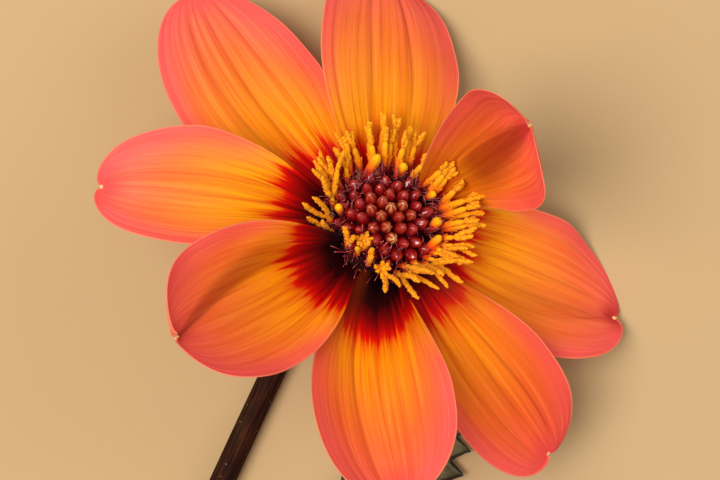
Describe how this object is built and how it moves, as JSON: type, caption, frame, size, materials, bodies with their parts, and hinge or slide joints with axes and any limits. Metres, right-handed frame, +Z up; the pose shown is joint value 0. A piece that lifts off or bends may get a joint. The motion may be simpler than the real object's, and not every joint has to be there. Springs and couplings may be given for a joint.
{
  "type": "dahlia flower",
  "caption": "Cut single dahlia: orange and coral ray petals round a dark red disc, on a lying stem with one toothed leaf.",
  "frame": {"origin": "on the surface that the flower lies on, under the middle of its bounding box", "axes": "+Z up from that surface, +X from the cut end of the stem towards the flower head"},
  "size_m": [0.1692, 0.0946, 0.0536],
  "materials": {
    "ray_petal": "velvety satin petal, dark red at the base, golden orange in the middle, coral at the margin and tip",
    "disc_bud": "glossy dark red closed buds with orange ribbed tips",
    "disc_floret": "matte orange-yellow florets dusted with pollen",
    "receptacle": "firm green-brown plant tissue, semi-matte",
    "bract": "fleshy green bract with a thin brown margin, semi-matte",
    "stem": "dark maroon-brown stem, faintly ridged, pale flecks",
    "leaf": "matte bronze-green leaf with sunken veins and a dark margin"
  },
  "bodies": {
    "root": {"stem": "stem", "leaf": "leaf", "receptacle": "receptacle", "disc_buds": "disc_bud", "ray_floret_1": "ray_petal", "ray_floret_2": "ray_petal", "ray_floret_3": "ray_petal", "ray_floret_4": "ray_petal", "ray_floret_5": "ray_petal", "ray_floret_6": "ray_petal", "ray_floret_7": "ray_petal", "ray_floret_8": "ray_petal", "inner_bract_1": "bract", "inner_bract_2": "bract", "inner_bract_3": "bract", "inner_bract_4": "bract", "inner_bract_5": "bract", "inner_bract_6": "bract", "inner_bract_7": "bract", "inner_bract_8": "bract", "outer_bract_1": "bract", "outer_bract_2": "bract", "outer_bract_3": "bract", "outer_bract_4": "bract", "outer_bract_5": "bract", "disc_floret_01": "disc_floret", "disc_floret_02": "disc_floret", "disc_floret_03": "disc_floret", "disc_floret_04": "disc_floret", "disc_floret_05": "disc_floret", "disc_floret_06": "disc_floret", "disc_floret_07": "disc_floret", "disc_floret_08": "disc_floret", "disc_floret_09": "disc_floret", "disc_floret_10": "disc_floret", "disc_floret_11": "disc_floret", "disc_floret_12": "disc_floret", "disc_floret_13": "disc_floret", "disc_floret_14": "disc_floret", "disc_floret_15": "disc_floret", "disc_floret_16": "disc_floret", "disc_floret_17": "disc_floret", "disc_floret_18": "disc_floret", "disc_floret_19": "disc_floret", "disc_floret_20": "disc_floret", "disc_floret_21": "disc_floret", "disc_floret_22": "disc_floret", "disc_floret_23": "disc_floret", "disc_floret_24": "disc_floret", "opening_floret_1": "disc_floret", "opening_floret_2": "disc_floret", "opening_floret_3": "disc_floret", "opening_floret_4": "disc_floret", "opening_floret_5": "disc_floret", "opening_floret_6": "disc_floret", "opening_floret_7": "disc_floret", "opening_floret_8": "disc_floret"}
  },
  "joints": []
}
